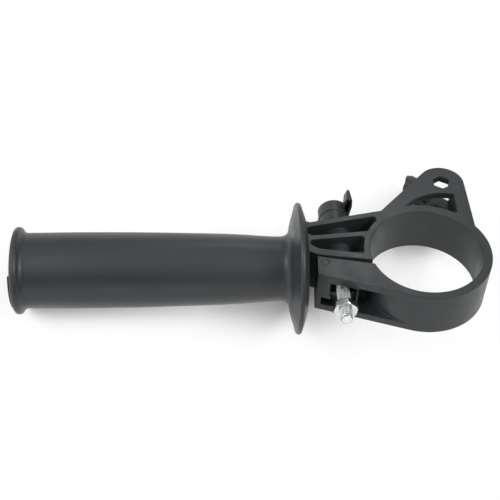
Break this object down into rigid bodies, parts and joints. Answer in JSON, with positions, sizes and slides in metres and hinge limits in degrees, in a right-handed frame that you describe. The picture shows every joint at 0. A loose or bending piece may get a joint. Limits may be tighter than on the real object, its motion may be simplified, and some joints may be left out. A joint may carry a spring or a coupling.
{
  "type": "power tool side handle",
  "caption": "dark grey side handle for a power tool, with a ring clamp closed by a wing knob and bolt, a depth rod ear with lock screw, and a turned grip with a hand guard",
  "frame": {"origin": "centre of the clamp bore, halfway along its width", "axes": "+Z along the bore axis, -X along the grip, +Y towards the depth rod ear"},
  "size_m": [0.2109, 0.0901, 0.0588],
  "materials": {
    "strap_plastic": "fine moulded texture, satin",
    "grip_plastic": "smooth moulded, satin",
    "plug_plastic": "smooth moulded, satin",
    "knob_plastic": "smooth moulded, satin",
    "zinc_steel": "bright zinc plate",
    "insert_brass": "turned"
  },
  "bodies": {
    "handle": {"clamp_strap": "strap_plastic", "grip": "grip_plastic", "end_plug": "plug_plastic", "grip_screw": "zinc_steel", "grip_washer": "zinc_steel", "lock_insert": "insert_brass"},
    "clamp_screw": {"clamp_bolt": "zinc_steel", "clamp_knob": "knob_plastic"},
    "nut": {"clamp_nut": "zinc_steel"},
    "rod_lock": {"lock_screw": "zinc_steel", "lock_wing": "knob_plastic"}
  },
  "joints": [
    {"name": "clamp_screw_turn", "type": "hinge", "parent": "handle", "child": "clamp_screw", "pos_m": [-0.0374, 0.0312, 0], "axis": [0, -1, 0], "range_deg": [0, 3285]},
    {"name": "nut_travel", "type": "slide", "parent": "handle", "child": "nut", "axis": [0, 1, 0], "range_m": [0, 0.00915]},
    {"name": "rod_lock_turn", "type": "hinge", "parent": "handle", "child": "rod_lock", "pos_m": [0.00546, 0.05246, 0], "axis": [-0.7487, 0.6629, 0], "range_deg": [-360, 360]}
  ],
  "couplings": [
    {"joint": "nut_travel", "follows": "clamp_screw_turn", "m_per_rad": 0.00015915}
  ]
}
